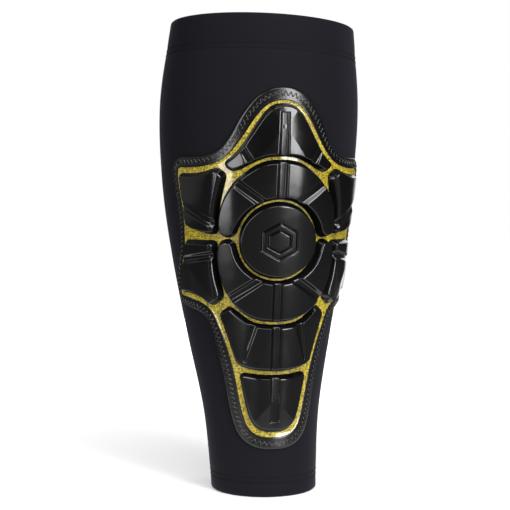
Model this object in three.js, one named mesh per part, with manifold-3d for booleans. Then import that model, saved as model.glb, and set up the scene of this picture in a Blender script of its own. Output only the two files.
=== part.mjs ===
// Shin guard: a tapered knit leg sleeve with a moulded impact panel on its front.
// Millimetres, +Z up the leg, -Y towards the front of the shin, +X towards the wearer's left.
//
// The leg is a stack of circles. The panel is drawn flat, in u (round the leg from the shin line)
// and v (up the leg from the middle of the round pad), and is then laid onto the leg.

import * as THREE from "three";
import { mergeVertices } from "three/addons/utils/BufferGeometryUtils.js";
import { TessellateModifier } from "three/addons/modifiers/TessellateModifier.js";
import { ConvexGeometry } from "three/addons/geometries/ConvexGeometry.js";
import Module from "manifold-3d";

const wasm = await Module();
wasm.setup();

// ---- Driving dimensions ----

const HEIGHT = 301; // ankle rim to the middle of the top rim
const LEG_RADIUS = [34.0, 38.1, 47.7, 56.9, 63.6, 65.4, 59.2]; // at equal steps up the leg
const LEG_CENTRE = [-13.44, -5.34, 2.56, 6.66, 6.26, 1.26, -9.14]; // Y of the same sections' centres
const RIM_LEAN = 0.04; // the top rim drops this much per millimetre towards +X
const LEAN_FROM = 200; // the lean starts at this height

const CLOTH = 0.9; // sleeve cloth
const GAP = 0.3; // between touching pieces
const POCKET = 1.4; // room between the sleeve and its turned hem
const TOP_HEM = 22;
const ANKLE_HEM = 13.5;
const TOP_ROWS = [280, 282.9]; // heights of the needle rows
const ANKLE_ROWS = [9, 12];
const THREAD = 0.5;
const ELASTIC = { low: 285, high: 299.3, thick: 0.7 };
const SEAM = { width: 3, low: 14, high: 277 };

const DISC_HEIGHT = 163; // height of the panel's middle, where v is 0
const PANEL_SHIFT = 0.6; // the panel sits a little round from the shin line,
const PANEL_LEAN = 0.011; // and a little more of it the higher up
const SHEET_BASE = 0.45; // clear of the sleeve's facets
const BACKING_TOP = SHEET_BASE + 0.9;
const FLANGE_WIDTH = 7.2;
const FLANGE_TOP = SHEET_BASE + 1.4;
const ZIGZAG = { middle: 3.9, reach: 1.5, step: 3.2, half: 0.3, sharpest: 0.3 };

const PAD_BASE = BACKING_TOP + GAP;
const PAD_TOP = 7.4; // above the sleeve
const STUB = 0.1; // the upright part of a pad's wall
const WALL_RUN = 1.6; // how far a pad's wall leans in
const SKIN = 1.3; // moulded film over the foam
const BELOW = 1; // the hollow is cut from this far under the skin
const CORE_INSET = WALL_RUN + SKIN;
const CORE_ROOM = 0.6; // between the foam and its skin
const FALL = { // pads thin sideways, between these distances from the shin line, by this share
  top_cap: { from: 12, to: 32, share: 0.08 },
  fan: { from: 10, to: 32, share: 0.4 },
  toe: { from: 5, to: 20, share: 0.45 },
  wings: { from: 40, to: 70, share: 0.5 },
};
const GROOVE = { width: 6.2, depth: 2, lean: 1.5, above: 1, spread: 0.5 };
const WING_GROOVE = 5.2;
const NARROWEST = 0.1; // half a faded groove's floor
const DISC_RADIUS = 23.4;
const DISC_SIDES = 36;

const RING_SIDES = 48;
const SLEEVE_ROWS = 18;
const OUTLINE_STEP = 6;
const LONGEST_EDGE = 8; // round the leg
const LENGTHWISE = 0.45; // edges up the leg may be this much coarser
const CELL = { width: 7, height: 16 }; // facets of the backing
const STRAIGHT = 0.004; // a point this near its neighbours' line is left out
const CROWDED = 0.4;
const FAR = 400;
const SAME_POINT = 1e-4;
const INSET_CLEARANCE = 0.985; // a moved point nearer than this share of its distance is dropped
const LEAST_MITER = 0.6;
const CUTS = 12; // most rounds of cutting edges short

// ---- Outlines of the panel's pieces, [u, v] or [u, v, corner radius], anticlockwise ----
// A half outline runs down the -u side from the shin line back to the shin line.

const CORNER = 3;

const WINDOW_HALF = [
  [0, 86], [-6, 85.1], [-11.6, 81.8], [-16.4, 76.2], [-20.4, 70.2], [-25, 62.8], [-29.8, 56.4], [-35, 51.4],
  [-41, 48.3], [-48, 46.5], [-57, 45.8], [-71, 46, 4],
  [-69.3, 34], [-66.8, 25], [-65, 16], [-64.2, 7], [-64.2, -2], [-65.6, -10], [-68, -17],
  [-70.6, -25], [-71.4, -36, 3],
  [-64, -36.8], [-57, -38.1], [-50, -39.8], [-45, -42], [-41, -45], [-38, -49.5], [-33.5, -59],
  [-30, -67], [-27.5, -74.5], [-25.3, -81.8], [-23.3, -90.5], [-20.6, -103], [-18.4, -111.5],
  [-15.8, -118.2], [-12, -122.4], [-6.5, -124.7], [0, -125.1],
];

const TOP_CAP_HALF = [
  [0, 83.8], [-6, 82.8], [-10.5, 79.3], [-14, 74.8], [-19.5, 66], [-24, 58.8], [-29, 52.8],
  [-35.8, 47.8, 4], [-30.4, 42.8, CORNER],
  [-25, 44.2], [-17, 48.3], [-9, 51.4], [0, 52.2],
];

const UPPER_ARC_HALF = [
  [0, 49.5], [-8, 48.9], [-14.5, 46.6], [-21, 42.3], [-26.5, 37.6], [-31, 32], [-34.5, 25.5],
  [-36.5, 18], [-37, 10.5], [-36, 5], [-33, 2.6], [-29, 2.4], [-26.2, 4.4],
  [-24.9, 7.5], [-22.6, 12.5], [-18.7, 17.8], [-13, 22.3], [-6.8, 24.9], [0, 25.8],
];

const LOWER_ARC_HALF = [
  [0, -25.8], [-6.8, -24.9], [-13, -22.3], [-18.7, -17.8], [-22.6, -12.5], [-25, -6.6],
  [-26.2, -2.4], [-29, 0.2], [-33, 0.2], [-36, -2], [-37, -7], [-36.7, -13],
  [-35.2, -20.5], [-32.8, -28], [-29.5, -34.6], [-24.5, -41.2], [-18, -46.7], [-10, -50.2],
  [0, -51.1],
];

const FAN_HALF = [
  [0, -53.5], [-6, -53.3], [-12, -52.3], [-17, -50], [-22, -46.3], [-28.4, -41.6, CORNER],
  [-35.3, -46.6, CORNER],
  [-32, -54], [-29, -61.5], [-26.3, -68.7], [-22.6, -78.6, CORNER],
  [-14, -81.3], [-7, -82.3], [0, -82.6],
];

const TOE_HALF = [
  [0, -85.6], [-8, -85.4], [-21.2, -83.7, 4.5],
  [-19.6, -91], [-17.8, -99.5], [-15.6, -108.4], [-13, -115], [-9.3, -119.3], [-5, -121],
  [0, -121.4],
];

const UPPER_WING = [
  [-39.2, 45.2, CORNER], [-43, 44], [-48, 42.6], [-55, 41.7], [-62, 41.6], [-68.8, 41.9, CORNER],
  [-67.4, 32.5], [-65.1, 24.5], [-63.3, 16], [-62.2, 9.2, CORNER],
  [-52, 6.2], [-45, 4.7], [-37.8, 4, CORNER],
  [-37.7, 11], [-37.4, 20], [-36, 28.5], [-33.2, 40.6, CORNER],
];

const LOWER_WING = [
  [-38, -0.3, CORNER], [-62.5, -0.2, CORNER],
  [-63.7, -9], [-65.7, -15.5], [-68.1, -22.5], [-69.3, -33.9, CORNER],
  [-62, -33.8], [-55, -34.8], [-49, -36.5], [-44, -38.8], [-39.8, -41.8, CORNER],
  [-32.5, -36.4, CORNER], [-33.6, -31], [-35.3, -25], [-36.9, -17], [-37.8, -9],
];

// A groove runs [u, v] to [u, v]. A fading groove ends at the given share of its width and depth.

const SHIN_GROOVES = {
  top_cap: [{ from: [0, 48], to: [0, 79], endWidth: 0.8, endDepth: 0.15 }],
  upper_arc: [{ from: [0, 23], to: [0, 52] }],
  lower_arc: [{ from: [0, -23], to: [0, -53] }],
  fan: [{ from: [0, -51], to: [0, -84] }],
  toe: [{ from: [0, -83], to: [0, -116.5], endWidth: 0.85, endDepth: 0.5 }],
};

const SIDE_GROOVES = {
  top_cap: [{ from: [-17.2, 45.5], to: [-24, 57.8], endWidth: 0.6, endDepth: 0.2 }],
  upper_arc: [{ from: [-10.4, 23.4], to: [-31.5, 39.9] }],
  lower_arc: [{ from: [-10.5, -24.2], to: [-30.5, -38.6] }],
  fan: [{ from: [-14.2, -47], to: [-19.9, -75], endWidth: 0.15, endDepth: 0.15 }],
};

const UPPER_WING_GROOVE = { from: [-68, 24.7], to: [-34.5, 9], width: WING_GROOVE };
const LOWER_WING_GROOVE = { from: [-70, -13.4], to: [-34.5, -8.1], width: WING_GROOVE };

// ---- The leg ----

// Smooth curve through equally spaced values, at a height up the leg.
function alongLeg(values, z) {
  const last = values.length - 1;
  const place = THREE.MathUtils.clamp((z / HEIGHT) * last, 0, last - 1e-6);
  const i = Math.floor(place);
  const t = place - i;
  const p1 = values[i];
  const p2 = values[i + 1];
  const p0 = i > 0 ? values[i - 1] : 2 * p1 - p2;
  const p3 = i + 2 <= last ? values[i + 2] : 2 * p2 - p1;
  const bend = (2 * p0 - 5 * p1 + 4 * p2 - p3) * t * t + (3 * p1 - p0 - 3 * p2 + p3) * t * t * t;
  return 0.5 * (2 * p1 + (p2 - p0) * t + bend);
}

const radiusAt = (z) => alongLeg(LEG_RADIUS, z);
const centreAt = (z) => alongLeg(LEG_CENTRE, z);

// A point of the sleeve: angle from the shin line, height, and distance straight out from its face.
function sleevePoint(angle, z, out) {
  const r = radiusAt(z);
  const lean = RIM_LEAN * THREE.MathUtils.smoothstep(z, LEAN_FROM, HEIGHT) * r * Math.sin(angle);
  return new THREE.Vector3(
    (r + out) * Math.sin(angle),
    centreAt(z) - (r + out) * Math.cos(angle),
    z - lean,
  );
}

// A point of the panel: the flat drawing laid onto the leg, h along the surface's normal.
function panelPoint(u, v, h) {
  const z = DISC_HEIGHT + v;
  const r = radiusAt(z);
  const angle = (u + PANEL_SHIFT + PANEL_LEAN * v) / r;
  const flare = radiusAt(z + 0.5) - radiusAt(z - 0.5);
  const drift = centreAt(z + 0.5) - centreAt(z - 0.5);
  const normal = new THREE.Vector3(
    Math.sin(angle),
    -Math.cos(angle),
    drift * Math.cos(angle) - flare,
  ).normalize();
  return new THREE.Vector3(r * Math.sin(angle), centreAt(z) - r * Math.cos(angle), z).addScaledVector(
    normal,
    h,
  );
}

// A pad's height above its base where it thins sideways.
function thinned(u, h, fall) {
  const share = 1 - fall.share * THREE.MathUtils.smoothstep(Math.abs(u), fall.from, fall.to);
  return PAD_BASE + (h - PAD_BASE) * share;
}

// Moves every vertex of a geometry to place(x, y, z).
function remap(geometry, place) {
  const position = geometry.getAttribute("position");
  for (let i = 0; i < position.count; i++) {
    const p = place(position.getX(i), position.getY(i), position.getZ(i));
    position.setXYZ(i, p.x, p.y, p.z);
  }
  return geometry;
}

// ---- Solids ----

const bare = (geometry) => {
  const copy = geometry.index ? geometry.toNonIndexed() : geometry.clone();
  copy.deleteAttribute("normal");
  copy.deleteAttribute("uv");
  return copy;
};

function solid(geometry) {
  const merged = mergeVertices(bare(geometry), SAME_POINT);
  return new wasm.Manifold(
    new wasm.Mesh({
      numProp: 3,
      vertProperties: merged.attributes.position.array,
      triVerts: new Uint32Array(merged.index.array),
    }),
  );
}

function geometryOf(manifold) {
  const mesh = manifold.getMesh();
  const geometry = new THREE.BufferGeometry();
  geometry.setAttribute("position", new THREE.BufferAttribute(mesh.vertProperties, 3));
  geometry.setIndex(new THREE.BufferAttribute(mesh.triVerts, 1));
  return geometry;
}

// ---- Flat outlines ----

const mirrored = (points) => points.map(([u, v, corner]) => [-u, v, corner]).reverse();
const wholeOutline = (half) => [...half, ...mirrored(half).slice(1, -1)];

// Points of a closed outline: smooth between corners, and rounded by their radius at corners.
function outline(points) {
  const at = (p) => new THREE.Vector2(p[0], p[1]);
  const first = points.findIndex((p) => p[2]);
  if (first < 0) {
    const loop = new THREE.CatmullRomCurve3(
      points.map((p) => new THREE.Vector3(p[0], p[1], 0)),
      true,
    );
    const count = Math.ceil(loop.getLength() / OUTLINE_STEP);
    return loop.getSpacedPoints(count).slice(1).map((p) => new THREE.Vector2(p.x, p.y));
  }
  const turned = [...points.slice(first), ...points.slice(0, first + 1)];
  const corners = turned.flatMap((p, i) => (p[2] ? [i] : []));
  const sides = corners.slice(1).map((end, k) => ({
    curve: new THREE.SplineCurve(turned.slice(corners[k], end + 1).map(at)),
    startRadius: turned[corners[k]][2],
    endRadius: turned[end][2],
  }));
  const result = [];
  sides.forEach((side, k) => {
    const next = sides[(k + 1) % sides.length];
    const length = side.curve.getLength();
    const from = side.startRadius / length;
    const to = 1 - side.endRadius / length;
    const straight = side.curve.points.length === 2;
    const steps = straight ? 1 : Math.ceil(((to - from) * length) / OUTLINE_STEP);
    for (let i = 0; i <= steps; i++) {
      result.push(side.curve.getPointAt(from + ((to - from) * i) / steps));
    }
    const round = new THREE.QuadraticBezierCurve(
      side.curve.getPointAt(to),
      side.curve.getPointAt(1),
      next.curve.getPointAt(next.startRadius / next.curve.getLength()),
    );
    result.push(round.getPoint(1 / 3), round.getPoint(2 / 3));
  });
  return result;
}

function circleOutline(radius, count) {
  return Array.from({ length: count }, (_, i) => {
    const angle = (i / count) * 2 * Math.PI;
    return new THREE.Vector2(radius * Math.cos(angle), radius * Math.sin(angle));
  });
}

function distanceToOutline(p, loop) {
  const nearest = new THREE.Vector3();
  const here = new THREE.Vector3(p.x, p.y, 0);
  return Math.min(...loop.map((a, i) => {
    const b = loop[(i + 1) % loop.length];
    const edge = new THREE.Line3(new THREE.Vector3(a.x, a.y, 0), new THREE.Vector3(b.x, b.y, 0));
    edge.closestPointToPoint(here, true, nearest);
    return nearest.distanceTo(here);
  }));
}

// The outline without points that crowd their neighbour or lie where it runs straight on.
function tidy(loop) {
  return loop.filter((p, i) => {
    const before = loop[(i + loop.length - 1) % loop.length];
    const after = loop[(i + 1) % loop.length];
    const turn = p.clone().sub(before).cross(after.clone().sub(p));
    return p.distanceTo(before) > CROWDED && Math.abs(turn) > STRAIGHT * after.distanceTo(before);
  });
}

// The outline moved in by a distance, or out by a negative one, point for point.
function moved(loop, distance) {
  return loop.map((p, i) => {
    const before = loop[(i + loop.length - 1) % loop.length];
    const after = loop[(i + 1) % loop.length];
    const a = p.clone().sub(before).normalize();
    const b = after.clone().sub(p).normalize();
    const along = a.clone().add(b).normalize();
    const miter = 1 / Math.max(LEAST_MITER, along.dot(a));
    return new THREE.Vector2(p.x - along.y * distance * miter, p.y + along.x * distance * miter);
  });
}

// The same without the points that would fold over in a tight corner.
function inset(loop, distance) {
  const clear = (p) => distanceToOutline(p, loop) > distance * INSET_CLEARANCE;
  return tidy(moved(loop, distance).filter(clear));
}

// A straight-sided slab of an outline between two heights.
function slab(loop, low, high) {
  const shape = new THREE.Shape(loop);
  const geometry = new THREE.ExtrudeGeometry(shape, { depth: high - low, bevelEnabled: false });
  return solid(geometry.translate(0, 0, low));
}

// Triangles between two loops of as many points, as corner points in a flat list.
function between(loopA, heightA, loopB, heightB) {
  const corner = (p, h) => [p.x, p.y, h];
  return loopA.flatMap((a, i) => {
    const next = (i + 1) % loopA.length;
    const quad = [
      corner(a, heightA),
      corner(loopA[next], heightA),
      corner(loopB[next], heightB),
      corner(loopB[i], heightB),
    ];
    return [quad[0], quad[1], quad[2], quad[0], quad[2], quad[3]].flat();
  });
}

function fromTriangles(numbers) {
  const geometry = new THREE.BufferGeometry();
  geometry.setAttribute("position", new THREE.Float32BufferAttribute(numbers, 3));
  return geometry;
}

// A flat frame between an inner and an outer loop of as many points.
function frame(inner, outer, low, high) {
  return fromTriangles([
    ...between(outer, low, outer, high),
    ...between(outer, high, inner, high),
    ...between(inner, high, inner, low),
    ...between(inner, low, outer, low),
  ]);
}

const crossing = (a, b, axis, at) => {
  const t = (at - a[axis]) / (b[axis] - a[axis]);
  return a.clone().lerp(b, t).setComponent(axis === "x" ? 0 : 1, at);
};

// The loop with a point added wherever it crosses a grid line.
function crossed(loop, axis, at) {
  return loop.flatMap((a, i) => {
    const b = loop[(i + 1) % loop.length];
    return (a[axis] - at) * (b[axis] - at) < 0 ? [a, crossing(a, b, axis, at)] : [a];
  });
}

// The part of a loop on one side of a grid line.
const clipped = (loop, axis, at, side) =>
  crossed(loop, axis, at).filter((p) => (p[axis] - at) * side >= 0);

// A thin slab faceted in cells, so that it bends round the leg and along it.
function celled(loop, low, high) {
  const lines = (axis, step) => {
    const values = loop.map((p) => p[axis]);
    const count = Math.floor((Math.max(...values) - Math.min(...values)) / step);
    const first = Math.min(...values) + step / 2;
    return Array.from({ length: count }, (_, i) => first + i * step);
  };
  const across = lines("x", CELL.width);
  const up = lines("y", CELL.height);
  const pieces = (whole, axis, cuts) => [-FAR, ...cuts]
    .map((from, k) => clipped(clipped(whole, axis, from, 1), axis, cuts[k] ?? FAR, -1))
    .filter((piece) => piece.length > 2);
  let edge = across.reduce((points, at) => crossed(points, "x", at), loop);
  edge = up.reduce((points, at) => crossed(points, "y", at), edge);
  const numbers = between(edge, low, edge, high);
  for (const stripe of pieces(edge, "x", across)) {
    for (const cell of pieces(stripe, "y", up)) {
      for (const [a, b, c] of THREE.ShapeUtils.triangulateShape(cell, [])) {
        for (const i of [a, b, c]) numbers.push(cell[i].x, cell[i].y, high);
        for (const i of [a, c, b]) numbers.push(cell[i].x, cell[i].y, low);
      }
    }
  }
  return fromTriangles(numbers);
}

// A moulded block: its wall leans in towards the top.
function moulded(loop, low, high) {
  const geometry = new THREE.ExtrudeGeometry(new THREE.Shape(loop), {
    depth: STUB,
    bevelThickness: high - low - STUB,
    bevelSize: WALL_RUN,
    bevelOffset: -WALL_RUN,
    bevelSegments: 1,
  });
  const below = new THREE.BoxGeometry(FAR, FAR, FAR).translate(0, 0, low - FAR / 2);
  return solid(geometry.translate(0, 0, low)).subtract(solid(below));
}

// A wedge that cuts one groove. Grown, it keeps that much material round the groove.
function groove({ from, to, width = GROOVE.width, endWidth = 1, endDepth = 1 }, grown = 0) {
  const start = new THREE.Vector2(...from);
  const end = new THREE.Vector2(...to);
  const along = end.clone().sub(start).normalize();
  const side = new THREE.Vector2(-along.y, along.x);
  const points = [];
  for (const [point, way, wide, deep] of [[start, -1, 1, 1], [end, 1, endWidth, endDepth]]) {
    const middle = point.clone().addScaledVector(along, grown * way);
    const floor = PAD_TOP - GROOVE.depth * deep - grown;
    const half = (width * wide) / 2 + grown;
    const rows = [
      [half + GROOVE.spread, PAD_TOP + GROOVE.above],
      [Math.max(NARROWEST, half - GROOVE.lean), floor],
    ];
    for (const [reach, h] of rows) {
      for (const hand of [-1, 1]) {
        const p = middle.clone().addScaledVector(side, reach * hand);
        points.push(new THREE.Vector3(p.x, p.y, h));
      }
    }
  }
  return solid(new ConvexGeometry(points));
}

// Lays a flat geometry onto the leg, thinned sideways if it is given a fall.
function laid(geometry, fall) {
  const place = (u, v, h) => panelPoint(u, v, fall ? thinned(u, h, fall) : h);
  return mergeVertices(remap(geometry, place), SAME_POINT);
}

// The same, first cutting its edges short enough to follow the leg.
function laidFine(geometry, fall) {
  const flat = bare(geometry).scale(1, LENGTHWISE, 1);
  const fine = new TessellateModifier(LONGEST_EDGE, CUTS).modify(flat);
  return laid(fine.scale(1, 1 / LENGTHWISE, 1), fall);
}

// A ring round the leg from a closed profile of [distance out, height].
function ring(profile) {
  const around = 100;
  const points = profile.map(([out, z]) => new THREE.Vector2(around + out, z));
  const geometry = bare(new THREE.LatheGeometry([...points, points[0]], RING_SIDES));
  remap(geometry, (x, y, z) => sleevePoint(Math.atan2(x, z), y, Math.hypot(x, z) - around));
  return mergeVertices(geometry, SAME_POINT);
}

// ---- Materials ----

const material = (color, roughness) =>
  new THREE.MeshStandardMaterial({ color, roughness, metalness: 0 });

const KNIT = material(0x17171d, 0.8);
const THREAD_BLACK = material(0x2a2a30, 0.7);
const ELASTIC_BLACK = material(0x1c1c1e, 0.85);
const BACKING_YELLOW = material(0xc9b545, 0.35);
const FILM_BLACK = material(0x121214, 0.25);
const PAD_BLACK = material(0x0e0e10, 0.2);
const FOAM_GREY = material(0x55565a, 0.9);

const guard = new THREE.Group();

function add(name, geometry, look) {
  const mesh = new THREE.Mesh(geometry, look);
  mesh.name = name;
  guard.add(mesh);
}

// ---- Sleeve, hems, thread and seam ----

// One cloth: up the outside, turned in at the top, down the inside, turned in at the ankle.
function sleeveBody() {
  const rows = (from, to, out, count) =>
    Array.from({ length: count + 1 }, (_, i) => [out, from + ((to - from) * i) / count]);
  const turned = -CLOTH - POCKET;
  const inside = turned - CLOTH;
  return ring([
    ...rows(0, HEIGHT, 0, SLEEVE_ROWS),
    ...rows(HEIGHT, HEIGHT - TOP_HEM, inside, 2),
    ...rows(HEIGHT - TOP_HEM, HEIGHT - CLOTH, turned, 2),
    ...rows(HEIGHT - CLOTH, CLOTH, -CLOTH, SLEEVE_ROWS),
    ...rows(CLOTH, ANKLE_HEM, turned, 1),
    ...rows(ANKLE_HEM, 0, inside, 1),
  ]);
}

function band(low, high, from, to) {
  return ring([[to, low], [to, high], [from, high], [from, low]]);
}

const needleRow = (z) => band(z - THREAD / 2, z + THREAD / 2, GAP, GAP + THREAD);

function backSeam() {
  const length = SEAM.high - SEAM.low;
  const strip = new THREE.BoxGeometry(SEAM.width, length, THREAD, 1, SLEEVE_ROWS, 1);
  strip.translate(0, SEAM.low + length / 2, GAP + THREAD / 2);
  const place = (x, y, out) => sleevePoint(Math.PI + x / radiusAt(y), y, out);
  return mergeVertices(remap(bare(strip), place), SAME_POINT);
}

function topElastic() {
  const outer = -CLOTH - (POCKET - ELASTIC.thick) / 2;
  return band(ELASTIC.low, ELASTIC.high, outer - ELASTIC.thick, outer);
}

add("sleeve_body", sleeveBody(), KNIT);
add("top_hem_elastic", topElastic(), ELASTIC_BLACK);
add("top_hem_thread_lower", needleRow(TOP_ROWS[0]), THREAD_BLACK);
add("top_hem_thread_upper", needleRow(TOP_ROWS[1]), THREAD_BLACK);
add("ankle_hem_thread_lower", needleRow(ANKLE_ROWS[0]), THREAD_BLACK);
add("ankle_hem_thread_upper", needleRow(ANKLE_ROWS[1]), THREAD_BLACK);
add("back_seam_thread", backSeam(), THREAD_BLACK);

// ---- Backing sheet, its border and the zigzag thread ----

const windowLoop = outline(wholeOutline(WINDOW_HALF));

function zigzagThread() {
  const middle = new THREE.CatmullRomCurve3(
    moved(windowLoop, -ZIGZAG.middle).map((p) => new THREE.Vector3(p.x, p.y, 0)),
    true,
  );
  const turns = 2 * Math.round(middle.getLength() / ZIGZAG.step / 2);
  const swing = Array.from({ length: turns }, (_, i) => {
    const p = middle.getPointAt(i / turns);
    const t = middle.getTangentAt(i / turns);
    const reach = i % 2 ? ZIGZAG.reach : -ZIGZAG.reach;
    return new THREE.Vector2(p.x + t.y * reach, p.y - t.x * reach);
  });
  const edge = (way) => swing.map((p, i) => {
    const before = swing[(i + turns - 1) % turns];
    const after = swing[(i + 1) % turns];
    const a = p.clone().sub(before).normalize();
    const b = after.clone().sub(p).normalize();
    const along = a.clone().add(b).normalize();
    const out = (ZIGZAG.half * way) / Math.max(ZIGZAG.sharpest, along.dot(a));
    return new THREE.Vector2(p.x + along.y * out, p.y - along.x * out);
  });
  const low = FLANGE_TOP + GAP;
  return laid(frame(edge(-1), edge(1), low, low + THREAD));
}

add("backing_sheet", laid(celled(inset(windowLoop, GAP), SHEET_BASE, BACKING_TOP)), BACKING_YELLOW);
add(
  "border_flange",
  laid(frame(windowLoop, moved(windowLoop, -FLANGE_WIDTH), SHEET_BASE, FLANGE_TOP)),
  FILM_BLACK,
);
add("border_zigzag_thread", zigzagThread(), THREAD_BLACK);

// ---- Pads: a moulded skin over a foam core ----

function addPad(name, loop, grooves, fall) {
  const cutters = (grown) => grooves.map((g) => groove(g, grown));
  const grooved = (block, grown) => cutters(grown).reduce((left, cut) => left.subtract(cut), block);
  const cavity = grooved(slab(inset(loop, CORE_INSET), PAD_BASE - BELOW, PAD_TOP - SKIN), SKIN);
  const skin = grooved(moulded(loop, PAD_BASE, PAD_TOP), 0).subtract(cavity);
  const coreLoop = inset(loop, CORE_INSET + CORE_ROOM);
  const core = grooved(slab(coreLoop, PAD_BASE, PAD_TOP - SKIN - CORE_ROOM), SKIN + CORE_ROOM);
  add(`${name}_skin`, laidFine(geometryOf(skin), fall), PAD_BLACK);
  add(`${name}_foam`, laidFine(geometryOf(core), fall), FOAM_GREY);
}

const mirrorGroove = (g) => ({ ...g, from: [-g.from[0], g.from[1]], to: [-g.to[0], g.to[1]] });

function addShinPad(name, half) {
  const sides = SIDE_GROOVES[name] ?? [];
  const grooves = [...SHIN_GROOVES[name], ...sides, ...sides.map(mirrorGroove)];
  addPad(name, outline(wholeOutline(half)), grooves, FALL[name]);
}

function addWings(name, points, wingGroove) {
  addPad(`${name}_right`, outline(points), [wingGroove], FALL.wings);
  addPad(`${name}_left`, outline(mirrored(points)), [mirrorGroove(wingGroove)], FALL.wings);
}

addShinPad("top_cap", TOP_CAP_HALF);
addShinPad("upper_arc", UPPER_ARC_HALF);
addPad("disc", circleOutline(DISC_RADIUS, DISC_SIDES), []);
addShinPad("lower_arc", LOWER_ARC_HALF);
addShinPad("fan", FAN_HALF);
addShinPad("toe", TOE_HALF);
addWings("upper_wing", UPPER_WING, UPPER_WING_GROOVE);
addWings("lower_wing", LOWER_WING, LOWER_WING_GROOVE);

export default guard;
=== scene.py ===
"""Shin guard: a knit leg sleeve with a moulded impact panel stitched to its front.

Metres, +Z up the leg, -Y towards the front of the shin. Pieces of the panel are modelled flat, with X as u
(round the leg from the shin line), Y as v (up the leg from the middle of the round pad) and Z as the height
above the sleeve, and are then laid onto the leg.
"""

import math

import bpy
import numpy as np
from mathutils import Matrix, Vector


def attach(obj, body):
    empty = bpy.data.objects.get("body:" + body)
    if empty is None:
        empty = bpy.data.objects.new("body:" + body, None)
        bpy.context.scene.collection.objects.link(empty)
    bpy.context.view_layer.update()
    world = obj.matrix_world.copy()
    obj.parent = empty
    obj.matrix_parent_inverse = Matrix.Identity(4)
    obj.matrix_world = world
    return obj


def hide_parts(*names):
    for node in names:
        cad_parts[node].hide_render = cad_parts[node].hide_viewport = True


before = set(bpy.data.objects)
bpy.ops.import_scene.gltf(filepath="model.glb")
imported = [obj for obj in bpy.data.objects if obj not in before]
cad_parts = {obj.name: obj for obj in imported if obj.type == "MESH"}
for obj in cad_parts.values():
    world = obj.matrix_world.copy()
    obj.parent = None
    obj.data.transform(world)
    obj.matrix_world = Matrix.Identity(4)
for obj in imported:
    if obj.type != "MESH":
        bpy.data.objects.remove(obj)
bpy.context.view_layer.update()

MM = 0.001

# ---- The leg ----

HEIGHT = 0.301
LEG_RADIUS = np.array((34.0, 38.1, 47.7, 56.9, 63.6, 65.4, 59.2)) * MM
LEG_CENTRE = np.array((-13.44, -5.34, 2.56, 6.66, 6.26, 1.26, -9.14)) * MM
RIM_LEAN = 0.04
LEAN_FROM = 0.2

CLOTH = 0.9 * MM
HEM_FOLD = 3.2 * MM  # from the sleeve's face to the inside of its turned hem
TOP_HEM = 22 * MM
ANKLE_HEM = 13.5 * MM
HEM_ROWS = (9 * MM, 12 * MM, 280 * MM, 282.9 * MM)
SEAM_LOW, SEAM_HIGH, SEAM_HALF = 14 * MM, 277 * MM, 1.5 * MM

DISC_HEIGHT = 0.163
PANEL_SHIFT = 0.6 * MM  # the panel sits a little round from the shin line,
PANEL_LEAN = 0.011  # and a little more of it the higher up
BACKING_LOW = 0.3 * MM
BACKING_TOP = 1.35 * MM
ZIGZAG_MIDDLE = 3.8 * MM
ZIGZAG_REACH = 1.4 * MM
ZIGZAG_STEP = 1.55 * MM  # from one side of the zigzag to the other
THREAD_RADIUS = 0.25 * MM
BORDER_THREAD_RADIUS = 0.33 * MM

PAD_BASE = 1.4 * MM
PAD_FOOT = 0.5 * MM  # the upright rim at the bottom of a pad
PAD_TOP = 7.4 * MM
PAD_SPREAD = 0.45 * MM  # how far a pad's foot reaches past its drawn outline
WALL_RUN = 2.1 * MM
EDGE_ROUND = 0.55 * MM
FACET_EDGE = 0.4 * MM  # half the width of the rounding where a facet starts
GROOVE_WIDTH = 6.2 * MM
WING_GROOVE_WIDTH = 5.2 * MM
GROOVE_DEPTH = 2 * MM
GROOVE_SLOPE = 0.75  # how far a groove's wall leans for its depth
GROOVE_NARROWEST = 0.15 * MM  # half of a faded groove's floor
DISC_RADIUS = 23.7 * MM
EMBLEM = ((12 * MM, 0.9 * MM), (7.6 * MM, 0.8 * MM))  # radius and line width of its two six-sided outlines
EMBLEM_DEPTH = 0.3 * MM


def ease(low, high, x):
    """0 below low, 1 above high, and smooth between them."""
    t = np.clip((x - low) / (high - low), 0, 1)
    return t * t * (3 - 2 * t)


def along_leg(values, z):
    """Smooth curve through equally spaced values, at a height up the leg."""
    last = len(values) - 1
    place = np.clip(np.asarray(z, float) / HEIGHT * last, 0, last - 1e-6)
    i = np.floor(place).astype(int)
    t = place - i
    longer = np.concatenate(([2 * values[0] - values[1]], values, [2 * values[-1] - values[-2]]))
    p0, p1, p2, p3 = (longer[i + k] for k in range(4))
    bend = (2 * p0 - 5 * p1 + 4 * p2 - p3) * t**2 + (3 * p1 - p0 - 3 * p2 + p3) * t**3
    return 0.5 * (2 * p1 + (p2 - p0) * t + bend)


def sleeve_points(angle, z, out):
    """Points by angle from the shin line, height, and distance straight out from the sleeve's face."""
    r = along_leg(LEG_RADIUS, z)
    lean = RIM_LEAN * ease(LEAN_FROM, HEIGHT, z) * r * np.sin(angle)
    y = along_leg(LEG_CENTRE, z) - (r + out) * np.cos(angle)
    return np.stack(((r + out) * np.sin(angle), y, z - lean), axis=-1)


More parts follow.
